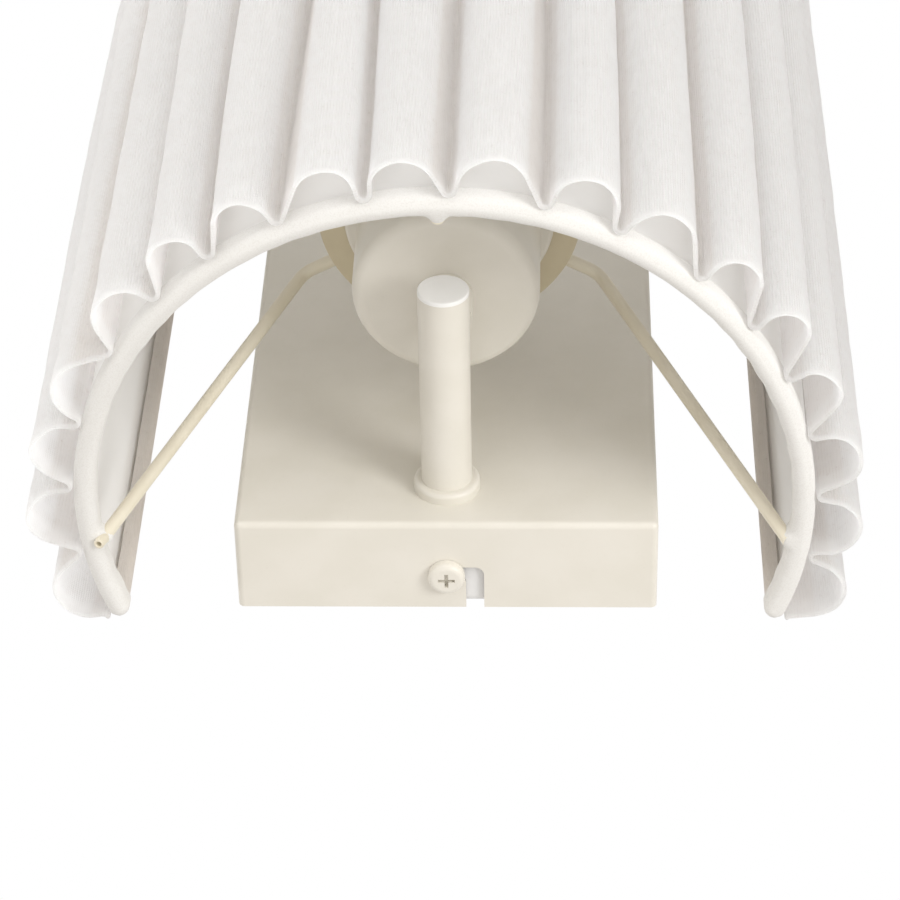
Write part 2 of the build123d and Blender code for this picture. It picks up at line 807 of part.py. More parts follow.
def make_terminal_tubes():
    tubes = []
    for x in pole_places:
        tube = upright(tube_radius, block_bottom + tube_inset, block_bottom + block_height - tube_inset,
                       x, tube_y)
        tube -= upright(tunnel_radius, block_bottom, block_bottom + block_height, x, tube_y)
        for row in screw_rows:
            tube -= level(block_screw_radius + thread_clearance, tube_y, block_back, x, block_z + row)
        tubes.append(tube)
    return Compound(tubes)


def make_block_screws():
    head_end = block_back - block_screw_inset
    head_start = head_end - block_screw_head_height
    shank_tip = tube_y + tunnel_radius + thread_clearance
    half_slot, reach = block_screw_slot_width / 2, block_screw_head_radius
    screws = []
    for x in pole_places:
        for row in screw_rows:
            z = block_z + row
            screw = level(reach, head_start, head_end, x, z)
            screw += level(block_screw_radius, shank_tip, head_start + 0.5, x, z)
            slot_floor = head_end - block_screw_slot_depth
            screw -= block(x - reach, x + reach, slot_floor, block_back, z - half_slot, z + half_slot)
            screws.append(screw)
    return Compound(screws)


def make_stud(radius, length, x, z):
    stud = level(radius, box_inner_face, box_inner_face + length, x, z)
    return chamfer(stud.edges().group_by(Axis.Y)[-1], stud_end_chamfer)


def make_stud_nut(across_flats, height, seat, hole, x, z):
    nut = Pos(x, seat + height, z) * Rot(90, 0, 0) * hexagon(across_flats, height)
    return nut - level(hole, seat - 1, seat + height + 1, x, z)


def make_earth_tag():
    # A ring on the stud with a barrel at its side for the lead.
    ring = level(tag_radius, box_inner_face, box_inner_face + tag_thickness, cover_stud_x, cover_stud_z)
    barrel_end = cover_stud_x - tag_radius - tag_neck_length
    neck = block(barrel_end, cover_stud_x, box_inner_face, box_inner_face + tag_thickness,
                 cover_stud_z - tag_barrel_radius, cover_stud_z + tag_barrel_radius)
    along = Pos(barrel_end, box_inner_face + tag_barrel_radius, cover_stud_z) * Rot(0, -90, 0)
    tag = ring + neck + along * Cylinder(tag_barrel_radius, tag_barrel_length, align=lower_middle)
    tag -= along * Cylinder(lead_radius + lead_clearance, 3 * tag_barrel_length)
    return tag - level(earth_screw_radius + hole_clearance, box_inner_face - 1, box_inner_face + 3,
                       cover_stud_x, cover_stud_z)


# ---- leads ----
def make_lamp_lead(side, x_block):
    # From the block down to the post, along it, up the nipple and out to the lampholder's terminal.
    x_run = side * lead_offset
    z_terminal = carrier_z - lamp_terminal_height / 2
    points = [
        (x_block, tube_y, block_bottom + lead_into_block),
        (x_block, tube_y, block_bottom - lead_bend_height),
        (x_run, -lead_drop_from_wall, block_bottom - 2 * lead_bend_height),
        (x_run, -lead_drop_from_wall, post_z),
        (x_run, cup_y, post_z),
        (x_run, cup_y, z_terminal),
        (side * lamp_terminal_from_axis, cup_y, z_terminal),
    ]
    into_post = -lead_drop_from_wall - spigot_end + lead_bend_past_spigot
    radii = [lead_bend_radius, lead_bend_radius, into_post, lead_corner_radius, lead_corner_radius]
    return wire_along(points, radii, lead_radius)


def make_earth_lead():
    barrel_end = cover_stud_x - tag_radius - tag_neck_length
    barrel_y = box_inner_face + tag_barrel_radius
    points = [
        (earth_pole, tube_y, block_bottom + lead_into_block),
        (earth_pole, tube_y, cover_stud_z + lead_bend_height),
        (earth_pole + lead_lean, barrel_y, cover_stud_z),
        (barrel_end - 1, barrel_y, cover_stud_z),
    ]
    return wire_along(points, [lead_bend_radius, lead_tail_bend_radius], lead_radius)


# ---- write every piece ----
save("wall_bracket", make_bracket())
save("earth_washer", make_earth_washer())
save("earth_screw", make_earth_screw())
save("cover_screw_bottom", make_cover_screw(-1))
save("cover_screw_top", make_cover_screw(1))
save("backplate_cover", make_cover())
save("post_collar", make_collar())
save("post_tube", make_post())
save("post_end_cap", make_end_cap())
save("post_lock_washer", make_post_washer())
save("post_nut", make_post_nut())
save("cup_neck", make_neck())
save("cup_nipple", make_nipple())
save("lampholder_cup", make_cup())
save("cup_washer", make_cup_washer())
save("cup_nut", make_cup_nut())
save("lampholder_body", make_lampholder_body())
save("contact_carrier", make_carrier())
save("shell_contact", make_shell())
save("live_terminal", make_lamp_terminal(-1))
save("neutral_terminal", make_lamp_terminal(1))
save("tongue_contact", make_tongue())
save("tongue_seat", make_tongue_seat())
save("shade_ring", make_shade_ring())
save("spider_ring", make_spider_ring())
save("spider_arm_left", make_arm(-side_arm_angle))
save("spider_arm_right", make_arm(side_arm_angle))
save("spider_arm_front", make_arm(0))
save("rim_wire_lower", make_rim_wire(rim_wire_z))
save("rim_wire_upper", make_rim_wire(shade_top - wire_z_inset))
save("frame_upright_left", make_upright_wire(-1))
save("frame_upright_right", make_upright_wire(1))
save("shade_liner", make_liner())
save("rim_tape_lower", make_lower_tape())
save("rim_tape_upper", make_upper_tape())
save("edge_strip_left", make_edge_strip(-1))
save("edge_strip_right", make_edge_strip(1))
save("pleated_cover", make_pleats())
save("terminal_block", make_terminal_block())
save("terminal_tubes", make_terminal_tubes())
save("terminal_screws", make_block_screws())
save("block_stud", make_stud(stud_radius, block_depth + stud_nut_height + stud_past_nut, stud_x, block_z))
save("block_nut", make_stud_nut(stud_nut_across_flats, stud_nut_height, block_back,
                                stud_radius + thread_clearance, stud_x, block_z))
save("cover_earth_stud", make_stud(earth_screw_radius, cover_stud_length, cover_stud_x, cover_stud_z))
save("cover_earth_tag", make_earth_tag())
save("cover_earth_nut", make_stud_nut(cover_nut_across_flats, cover_nut_height,
                                      box_inner_face + tag_thickness,
                                      earth_screw_radius + thread_clearance, cover_stud_x, cover_stud_z))
save("lead_live", make_lamp_lead(-1, live_pole))
save("lead_neutral", make_lamp_lead(1, neutral_pole))
save("lead_earth", make_earth_lead())
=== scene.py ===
import json
import math
import bmesh
import bpy
import numpy as np
from mathutils import Matrix


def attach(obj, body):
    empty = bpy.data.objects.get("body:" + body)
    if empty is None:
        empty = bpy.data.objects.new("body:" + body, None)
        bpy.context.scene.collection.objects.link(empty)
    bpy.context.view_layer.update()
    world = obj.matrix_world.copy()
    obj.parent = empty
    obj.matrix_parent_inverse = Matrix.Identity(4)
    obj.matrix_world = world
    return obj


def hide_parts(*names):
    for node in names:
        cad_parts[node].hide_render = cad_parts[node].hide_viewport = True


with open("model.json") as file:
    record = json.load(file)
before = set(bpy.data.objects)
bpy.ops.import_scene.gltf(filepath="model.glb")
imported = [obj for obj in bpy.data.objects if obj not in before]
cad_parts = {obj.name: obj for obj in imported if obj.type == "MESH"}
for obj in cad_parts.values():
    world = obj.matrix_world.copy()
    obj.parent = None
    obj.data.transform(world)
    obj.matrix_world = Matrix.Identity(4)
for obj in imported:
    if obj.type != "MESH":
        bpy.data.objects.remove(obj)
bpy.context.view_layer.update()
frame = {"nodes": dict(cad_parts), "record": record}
cadNodes = frame["nodes"]
print("frame loaded:", len(cadNodes), "nodes")

mm = 0.001


# Small helpers for the node trees.
def colourOf(red, green, blue):
    # A screen colour of 0 to 255 as the linear colour that the shader reads.
    share = np.array([red, green, blue]) / 255
    low, high = share / 12.92, ((share + 0.055) / 1.055) ** 2.4
    return (*np.where(share <= 0.04045, low, high).tolist(), 1.0)


def feed(tree, socket, value):
    # Links another socket, or else writes the number or colour itself.
    if isinstance(value, bpy.types.NodeSocket):
        tree.links.new(value, socket)
    else:
        socket.default_value = value


def calc(tree, operation, *values, clamp=False):
    node = tree.nodes.new("ShaderNodeMath")
    node.operation, node.use_clamp = operation, clamp
    for socket, value in zip(node.inputs, values):
        feed(tree, socket, value)
    return node.outputs[0]


def scaled(tree, place, factors):
    node = tree.nodes.new("ShaderNodeVectorMath")
    node.operation = "MULTIPLY"
    feed(tree, node.inputs[0], place)
    node.inputs[1].default_value = factors
    return node.outputs[0]


def grain(tree, place, size, detail=2.0, roughness=0.5, stretch=(1, 1, 1)):
    # Noise from 0 to 1 whose blots are about the given size in metres.
    node = tree.nodes.new("ShaderNodeTexNoise")
    feed(tree, node.inputs["Vector"], scaled(tree, place, stretch))
    node.inputs["Scale"].default_value = 1 / size
    node.inputs["Detail"].default_value = detail
    node.inputs["Roughness"].default_value = roughness
    return node.outputs["Fac"]


def between(tree, value, low, high, to=(0.0, 1.0)):
    # A smooth step from one level to the other.
    node = tree.nodes.new("ShaderNodeMapRange")
    node.interpolation_type = "SMOOTHSTEP"
    feed(tree, node.inputs["Value"], value)
    for name, number in zip(("From Min", "From Max", "To Min", "To Max"), (low, high, *to)):
        node.inputs[name].default_value = number
    return node.outputs["Result"]


def mixed(tree, share, first, second):
    node = tree.nodes.new("ShaderNodeMix")
    node.data_type = "RGBA"
    feed(tree, node.inputs[0], share)
    feed(tree, node.inputs[6], first)
    feed(tree, node.inputs[7], second)
    return node.outputs[2]


def raised(tree, height, depth, strength=1.0, under=None):
    # A bump of the given depth in metres, over another bump where there is one.
    node = tree.nodes.new("ShaderNodeBump")
    node.inputs["Strength"].default_value = strength
    node.inputs["Distance"].default_value = depth
    feed(tree, node.inputs["Height"], height)
    if under is not None:
        tree.links.new(under, node.inputs["Normal"])
    return node.outputs["Normal"]


def startMaterial(name, **numbers):
    material = bpy.data.materials.new(name)
    material.use_nodes = True
    tree = material.node_tree
    shader = tree.nodes["Principled BSDF"]
    for socket, value in numbers.items():
        shader.inputs[socket.replace("_", " ")].default_value = value
    return material, tree, shader


def letThrough(tree, shader, tone, skin, share):
    # Thin cloth passes a share of the light that falls on its other side.
    glow = tree.nodes.new("ShaderNodeBsdfTranslucent")
    feed(tree, glow.inputs["Color"], tone)
    tree.links.new(skin, glow.inputs["Normal"])
    mix = tree.nodes.new("ShaderNodeMixShader")
    mix.inputs[0].default_value = share
    tree.links.new(shader.outputs[0], mix.inputs[1])
    tree.links.new(glow.outputs[0], mix.inputs[2])
    tree.links.new(mix.outputs[0], tree.nodes["Material Output"].inputs["Surface"])


def objectPlace(tree):
    return tree.nodes.new("ShaderNodeTexCoord").outputs["Object"]


def uvPlace(tree):
    # The piece's own map, in metres, and its two parts.
    vector = tree.nodes.new("ShaderNodeUVMap").outputs["UV"]
    parts = tree.nodes.new("ShaderNodeSeparateXYZ")
    tree.links.new(vector, parts.inputs[0])
    return vector, parts.outputs["X"], parts.outputs["Y"]


# Hard finishes.
def paintedMetal(name, look):
    # Sprayed powder paint: faint cloudiness, an orange-peel skin and a dusting of fine grit.
    cloudSize, speckSize, peelSize, peelDepth, speckDepth = 14 * mm, 0.6 * mm, 1.1 * mm, 0.02 * mm, 0.008 * mm
    gritShare, coatRoughness = 0.10, 0.32
    material, tree, shader = startMaterial(name, Metallic=0.0, Coat_Weight=look["coat"],
                                           Coat_Roughness=coatRoughness, Specular_IOR_Level=look["gloss"])
    place = objectPlace(tree)
    cloud = grain(tree, place, cloudSize, 3.0)
    speck = grain(tree, place, speckSize, 1.0)
    tone = mixed(tree, between(tree, cloud, 0.3, 0.7), look["low"], look["high"])
    grit = between(tree, speck, 0.66, 0.78)
    tone = mixed(tree, calc(tree, "MULTIPLY", grit, gritShare), tone, look["grit"])
    feed(tree, shader.inputs["Base Color"], tone)
    feed(tree, shader.inputs["Roughness"], between(tree, cloud, 0.2, 0.8, look["roughness"]))
    skin = raised(tree, grain(tree, place, peelSize, 2.0), peelDepth, look["peel"])
    feed(tree, shader.inputs["Normal"], raised(tree, speck, speckDepth, look["peel"], skin))
    return material


def mouldedPlastic(name, look):
    # Smooth moulded plastic with faint flow marks and a little light let in.
    flowSize, toothSize, toothDepth, scatterDepth = 6 * mm, 0.5 * mm, 0.01 * mm, 1.5 * mm
    material, tree, shader = startMaterial(name, Subsurface_Weight=look["depth"],
                                           Subsurface_Scale=scatterDepth, Specular_IOR_Level=0.5)
    shader.inputs["Subsurface Radius"].default_value = (1.0, 0.8, 0.6)
    place = objectPlace(tree)
    flow = grain(tree, place, flowSize, 3.0, 0.6, (1, 1, 0.3))
    feed(tree, shader.inputs["Base Color"], mixed(tree, flow, look["low"], look["high"]))
    feed(tree, shader.inputs["Roughness"], between(tree, flow, 0.25, 0.75, look["roughness"]))
    feed(tree, shader.inputs["Normal"], raised(tree, grain(tree, place, toothSize, 2.0), toothDepth, 0.6))
    return material


def workedMetal(name, look):
    # Bare or plated metal: fine drawn lines, a mottled dullness and small dark stains.
    lineSize, stainSize, lineDepth, stainShare = 0.5 * mm, 3.5 * mm, 0.01 * mm, 0.35
    material, tree, shader = startMaterial(name, Metallic=1.0)
    place = objectPlace(tree)
    drawn = grain(tree, place, lineSize, 2.0, 0.6, look["lines"])
    stain = grain(tree, place, stainSize, 4.0, 0.65)
    tone = mixed(tree, drawn, look["low"], look["high"])
    dull = between(tree, stain, 0.55, 0.8)
    tone = mixed(tree, calc(tree, "MULTIPLY", dull, stainShare), tone, look["stain"])
    feed(tree, shader.inputs["Base Color"], tone)
    feed(tree, shader.inputs["Roughness"], between(tree, stain, 0.2, 0.8, look["roughness"]))
    feed(tree, shader.inputs["Normal"], raised(tree, drawn, lineDepth, 0.5))
    return material


def wireSleeve(name, look):
    # Soft extruded sleeve with a slight drag along it, and a second colour in bands if it has one.
    dragSize, dragDepth, bandsPerMetre = 0.8 * mm, 0.02 * mm, 75
    material, tree, shader = startMaterial(name, Specular_IOR_Level=0.45)
    place = objectPlace(tree)
    drag = grain(tree, place, dragSize, 2.0, 0.5, (1, 1, 0.15))
    tone = mixed(tree, drag, look["low"], look["high"])
    if "band" in look:
        wave = tree.nodes.new("ShaderNodeTexWave")
        wave.wave_type, wave.bands_direction = "BANDS", "DIAGONAL"
        wave.inputs["Scale"].default_value = bandsPerMetre
        feed(tree, wave.inputs["Vector"], place)
        tone = mixed(tree, between(tree, wave.outputs["Fac"], 0.45, 0.55), tone, look["band"])
    feed(tree, shader.inputs["Base Color"], tone)
    feed(tree, shader.inputs["Roughness"], between(tree, drag, 0.3, 0.7, (0.4, 0.55)))
    feed(tree, shader.inputs["Normal"], raised(tree, drag, dragDepth, 0.5))
    return material


paintLooks = {
    "creamPaint": dict(low=colourOf(229, 225, 214), high=colourOf(233, 229, 219),
                       grit=colourOf(206, 200, 187), roughness=(0.32, 0.42), gloss=0.5, coat=0.15, peel=0.35),
    # The wire paint is a little yellower than the cream paint, which is painted shade on the thin arms.
    "wirePaint": dict(low=colourOf(226, 218, 197), high=colourOf(232, 225, 206),
                      grit=colourOf(204, 193, 166), roughness=(0.34, 0.44), gloss=0.5, coat=0.15, peel=0.3),
    # The ring paint is darker than the other paints, which is painted shade under the cup.
    "ringPaintShaded": dict(low=colourOf(208, 196, 167), high=colourOf(215, 204, 176),
                      grit=colourOf(188, 176, 146), roughness=(0.34, 0.44), gloss=0.5, coat=0.15, peel=0.3),
    "whitePaint": dict(low=colourOf(249, 249, 247), high=colourOf(252, 252, 250),
                       grit=colourOf(228, 226, 221), roughness=(0.34, 0.44), gloss=0.5, coat=0.15, peel=0.35),
    "strapPaint": dict(low=colourOf(228, 228, 228), high=colourOf(233, 233, 233),
                       grit=colourOf(200, 200, 200), roughness=(0.34, 0.44), gloss=0.5, coat=0.05, peel=0.3),
}
plasticLooks = {
    "holderPlastic": dict(low=colourOf(236, 234, 228), high=colourOf(242, 240, 235),
                          roughness=(0.3, 0.42), depth=0.15),
    "blockPlastic": dict(low=colourOf(226, 224, 218), high=colourOf(235, 233, 228),
                         roughness=(0.4, 0.52), depth=0.1),
}
metalLooks = {
    "zincPlate": dict(low=colourOf(186, 187, 188), high=colourOf(214, 215, 216),
                      stain=colourOf(140, 138, 132), roughness=(0.26, 0.42), lines=(1, 1, 0.1)),
    "springBrass": dict(low=colourOf(204, 170, 98), high=colourOf(226, 196, 124),
                        stain=colourOf(150, 112, 58), roughness=(0.22, 0.38), lines=(1, 0.12, 1)),
}
sleeveLooks = {
    "brownSleeve": dict(low=colourOf(92, 58, 38), high=colourOf(112, 72, 48)),
    "blueSleeve": dict(low=colourOf(44, 92, 158), high=colourOf(58, 110, 176)),
    "stripedSleeve": dict(low=colourOf(66, 132, 60), high=colourOf(80, 148, 72), band=colourOf(222, 200, 66)),
}
finishes = {name: paintedMetal(name, look) for name, look in paintLooks.items()}
finishes |= {name: mouldedPlastic(name, look) for name, look in plasticLooks.items()}
finishes |= {name: workedMetal(name, look) for name, look in metalLooks.items()}
finishes |= {name: wireSleeve(name, look) for name, look in sleeveLooks.items()}
slotFinish = {
    "cream_paint": "creamPaint", "wire_paint": "wirePaint", "strap_paint": "strapPaint",
    "plated_steel": "zincPlate", "holder_plastic": "holderPlastic", "insulation": "blockPlastic",
    "contact_brass": "springBrass", "live_sleeve": "brownSleeve", "neutral_sleeve": "blueSleeve",
    "earth_sleeve": "stripedSleeve",
}
# The post's end is whiter than its tube, and the rings that hold the shade get a darker paint, which is
# painted shade.
ownFinish = {"post_end_cap": "whitePaint", "shade_ring": "ringPaintShaded", "spider_ring": "ringPaintShaded"}
for part in frame["record"]["subparts"]:
    finish = ownFinish.get(part["node"], slotFinish.get(part["material_slot"]))
    if finish:
        partMaterials = cadNodes[part["node"]].data.materials
        partMaterials.clear()
        partMaterials.append(finishes[finish])
print("hard finishes on the frame's nodes")


# Cloth, felt and lining finishes.
def wovenCloth(name, look):
    # Ribs run up the cloth and finer threads cross them. Both are sines of the map's metres,
    # nudged by noise; the gaps between them are darker, with odd flecks and slubs.
    driftSize, wobbleSize, slubSize, crossSlubSize = 6 * mm, 4 * mm, 1.6 * mm, 1.4 * mm
    fleckSize, patchSize, showSize = 0.75 * mm, 20 * mm, 2.4 * mm
    fuzzSize, fuzzDepth, raggedSize, raggedWidth = 0.3 * mm, 0.06 * mm, 1.2 * mm, 1.6 * mm
    driftTurns, wobbleTurns, leastShow, flatShow = 0.9, 0.8, 0.3, 0.35
    material, tree, shader = startMaterial(name, Specular_IOR_Level=0.15)
    place, across, along = uvPlace(tree)
    drift = calc(tree, "SUBTRACT", grain(tree, place, driftSize, 2.0, 0.5, (1, 0.08, 1)), 0.5)
    turns = calc(tree, "ADD", calc(tree, "DIVIDE", across, look["rib"]),
                 calc(tree, "MULTIPLY", drift, driftTurns))
    wobble = calc(tree, "SUBTRACT", grain(tree, place, wobbleSize, 2.0, 0.5, (0.15, 1, 1)), 0.5)
    rows = calc(tree, "ADD", calc(tree, "DIVIDE", along, look["row"]),
                calc(tree, "MULTIPLY", wobble, wobbleTurns))
    waves = [calc(tree, "COSINE", calc(tree, "MULTIPLY", count, 2 * math.pi)) for count in (turns, rows)]
    ribs, crossing = (calc(tree, "MULTIPLY_ADD", wave, -0.5, 0.5) for wave in waves)
    weave = calc(tree, "MULTIPLY", calc(tree, "POWER", ribs, 0.7),
                 calc(tree, "MULTIPLY_ADD", crossing, look["crossShare"], 1 - look["crossShare"]))
    slub = between(tree, grain(tree, place, slubSize, 3.0, 0.6, (1, 0.10, 1)), 0.55, 0.8)
    crossSlub = between(tree, grain(tree, place, crossSlubSize, 3.0, 0.6, (0.09, 1, 1)), 0.6, 0.85)
    lump = calc(tree, "ADD", slub, calc(tree, "MULTIPLY", crossSlub, 0.8))
    fleck = between(tree, grain(tree, place, fleckSize, 2.0, 0.6, (1, 0.6, 1)), 0.60, 0.72)
    patch = grain(tree, place, patchSize, 3.0, 0.55)
    tone = mixed(tree, patch, look["thread"], look["threadWarm"])
    # The weave shows in some places more than in others, and most of all in the valleys, where the stronger
    # weave is painted shade.
    show = between(tree, grain(tree, place, showSize, 3.0, 0.65, (1, 0.5, 1)), 0.35, 0.65, (leastShow, 1.0))
    hollow = None
    if "hollow" in look:
        node = tree.nodes.new("ShaderNodeAttribute")
        node.attribute_name = "hollow"
        hollow = node.outputs["Fac"]
        show = calc(tree, "MULTIPLY", show, calc(tree, "MULTIPLY_ADD", hollow, 1 - flatShow, flatShow))
    gap = calc(tree, "MULTIPLY", calc(tree, "SUBTRACT", 1.0, weave),
               calc(tree, "MULTIPLY", show, look["gapShare"]))
    tone = mixed(tree, gap, tone, look["gap"])
    spots = calc(tree, "MULTIPLY", calc(tree, "MULTIPLY", fleck, show), look["fleckShare"])
    tone = mixed(tree, spots, tone, look["fleck"])
    height = calc(tree, "ADD", weave, calc(tree, "MULTIPLY", lump, 0.7))
    # Painted shade: a warmer, darker tone down in the valleys, and less of it all over the inner face.
    if hollow:  # a warmer tone down in the valleys, and less of it all over the inner face
        tone = mixed(tree, calc(tree, "MULTIPLY", hollow, look["hollowShare"]), tone, look["hollow"])
    if "hem" in look:
        # The hem is a smooth whiter band, narrow outside the cloth and wide inside it.
        side = tree.nodes.new("ShaderNodeAttribute")
        side.attribute_name = "inside"
        narrow, wide = look["hem"]
        width = calc(tree, "MULTIPLY_ADD", side.outputs["Fac"], wide - narrow, narrow)
        ragged = calc(tree, "MULTIPLY", calc(tree, "SUBTRACT", grain(tree, place, raggedSize, 2.0), 0.5),
                      raggedWidth)
        edge = calc(tree, "SUBTRACT", look["halfHeight"], calc(tree, "ABSOLUTE", along))
        past = calc(tree, "DIVIDE", calc(tree, "ADD", edge, ragged), width)
        hem = between(tree, past, 0.6, 1.2, (1.0, 0.0))
        tone = mixed(tree, calc(tree, "MULTIPLY", hem, 0.85), tone, look["hemColour"])
        plain = calc(tree, "MAXIMUM", hem, calc(tree, "MULTIPLY", side.outputs["Fac"], 0.6))
        height = calc(tree, "MULTIPLY", height, between(tree, plain, 0.0, 1.0, (1.0, 0.15)))
    feed(tree, shader.inputs["Base Color"], tone)
    feed(tree, shader.inputs["Roughness"], between(tree, weave, 0.0, 1.0, (0.97, 0.86)))
    fuzz = raised(tree, grain(tree, place, fuzzSize, 2.0, 0.7), fuzzDepth, 0.5)
    skin = raised(tree, height, look["bump"], look["bumpShare"], fuzz)
    feed(tree, shader.inputs["Normal"], skin)
    # What shines through is greyer at the gaps and the flecks, and at the valleys as painted shade, and stays
    # nearly neutral.
    throughGrey = calc(tree, "MAXIMUM", gap, spots)
    if hollow:
        throughGrey = calc(tree, "MAXIMUM", throughGrey, calc(tree, "MULTIPLY", hollow, look["valleyShare"]))
    letThrough(tree, shader, mixed(tree, throughGrey, look["thread"], look["throughGrey"]), skin, look["through"])
    return material


def feltTape(name, look):
    # Pressed fibres: short crossed hairs at two sizes, a soft mottle and a matt skin.
    hairSize, clumpSize, mottleSize, hairDepth, clumpDepth = 0.4 * mm, 1.6 * mm, 9 * mm, 0.07 * mm, 0.14 * mm
    material, tree, shader = startMaterial(name, Sheen_Weight=0.25, Sheen_Roughness=0.7,
                                           Specular_IOR_Level=0.1)
    place = objectPlace(tree)
    hair = grain(tree, place, hairSize, 4.0, 0.7)
    clump = grain(tree, place, clumpSize, 3.0, 0.6)
    mottle = grain(tree, place, mottleSize, 2.0)
    tone = mixed(tree, mottle, look["high"], look["low"])
    pits = calc(tree, "MULTIPLY", between(tree, hair, 0.35, 0.55, (1.0, 0.0)), 0.35)
    feed(tree, shader.inputs["Base Color"], mixed(tree, pits, tone, look["pit"]))
    feed(tree, shader.inputs["Roughness"], between(tree, hair, 0.0, 1.0, (0.85, 0.98)))
    soft = raised(tree, clump, clumpDepth, 0.6)
    feed(tree, shader.inputs["Normal"], raised(tree, hair, hairDepth, 0.7, soft))
    return material


def satinLining(name, look):
    # A smooth film with faint upright bands from rolling, and a paper-like grain.
    bandSize, toothSize, bandDepth, toothDepth = 11 * mm, 0.6 * mm, 0.2 * mm, 0.02 * mm
    material, tree, shader = startMaterial(name, Specular_IOR_Level=0.4, Coat_Weight=0.05, Coat_Roughness=0.4)
    place = uvPlace(tree)[0]
    band = grain(tree, place, bandSize, 2.0, 0.5, (1, 0.04, 1))
    tooth = grain(tree, place, toothSize, 3.0, 0.6)
    tone = mixed(tree, band, look["low"], look["high"])
    feed(tree, shader.inputs["Base Color"], tone)
    feed(tree, shader.inputs["Roughness"], between(tree, tooth, 0.3, 0.7, (0.46, 0.6)))
    skin = raised(tree, tooth, toothDepth, 0.4, raised(tree, band, bandDepth, 0.35))
    feed(tree, shader.inputs["Normal"], skin)
    letThrough(tree, shader, look["high"], skin, look["through"])
    return material


coverEdge = 109.6 * mm  # half of the fluted cover's height
# The warm colour for the valleys and the inner face is painted shade, and so is the valleys' share of the
# grey that shines through.
clothLook = dict(
    thread=colourOf(253, 254, 255), threadWarm=colourOf(252, 252, 251), gap=colourOf(206, 197, 190),
    fleck=colourOf(164, 146, 136), hollow=colourOf(233, 222, 212), hemColour=colourOf(246, 245, 242),
    throughGrey=colourOf(233, 231, 230), rib=0.64 * mm, row=0.72 * mm, crossShare=0.5, gapShare=0.62,
    fleckShare=0.95, hollowShare=0.8, valleyShare=0.3, through=0.82, bump=0.14 * mm, bumpShare=0.9,
    hem=(1.2 * mm, 6 * mm), halfHeight=coverEdge)
stripLook = dict(
    thread=colourOf(251, 248, 245), threadWarm=colourOf(247, 243, 239), gap=colourOf(220, 211, 203),
    fleck=colourOf(184, 170, 160), throughGrey=colourOf(238, 235, 231), rib=0.5 * mm, row=0.55 * mm,
    crossShare=0.6, gapShare=0.25, fleckShare=0.4, through=0.55, bump=0.1 * mm, bumpShare=0.6)
tapeLook = dict(high=colourOf(234, 233, 230), low=colourOf(229, 228, 224), pit=colourOf(212, 208, 202))
liningLook = dict(low=colourOf(252, 251, 250), high=colourOf(254, 254, 253), through=0.45)
coverMaterial = wovenCloth("slubbedCotton", clothLook)
stripMaterial = wovenCloth("edgeLinen", stripLook)
tapeMaterial = feltTape("rimFelt", tapeLook)
liningMaterial = satinLining("shadeLiningFilm", liningLook)


# Helpers for the meshes.
def wander(along, seed, count=6, low=1.0, high=8.0):
    # A smooth random line within about -1 to 1: sines of random pitch and phase over 0 to 1.
    draw = np.random.default_rng(seed)
    pitch = draw.uniform(low, high, count)
    phase = draw.uniform(0, 2 * np.pi, count)
    share = draw.uniform(0.5, 1.0, count)
    waves = np.sin(2 * np.pi * np.asarray(along)[..., None] * pitch + phase) * share
    return waves.sum(-1) / share.sum() * 1.6


def wanderSheet(across, along, seed, count=9, low=1.0, high=6.0):
    # The same over two parameters: each wave has its own heading.
    draw = np.random.default_rng(seed)
    pitch = draw.uniform(low, high, (count, 2)) * draw.choice([-1, 1], (count, 2))
    phase = draw.uniform(0, 2 * np.pi, count)
    waves = np.sin(2 * np.pi * (np.asarray(across)[..., None] * pitch[:, 0]
                                + np.asarray(along)[..., None] * pitch[:, 1]) + phase)
    return waves.mean(-1) * 1.8


def headingOf(angle):
    # The level direction at an angle from the front, counted towards the right.
    return np.stack([np.sin(angle), -np.cos(angle), np.zeros_like(angle)], -1)


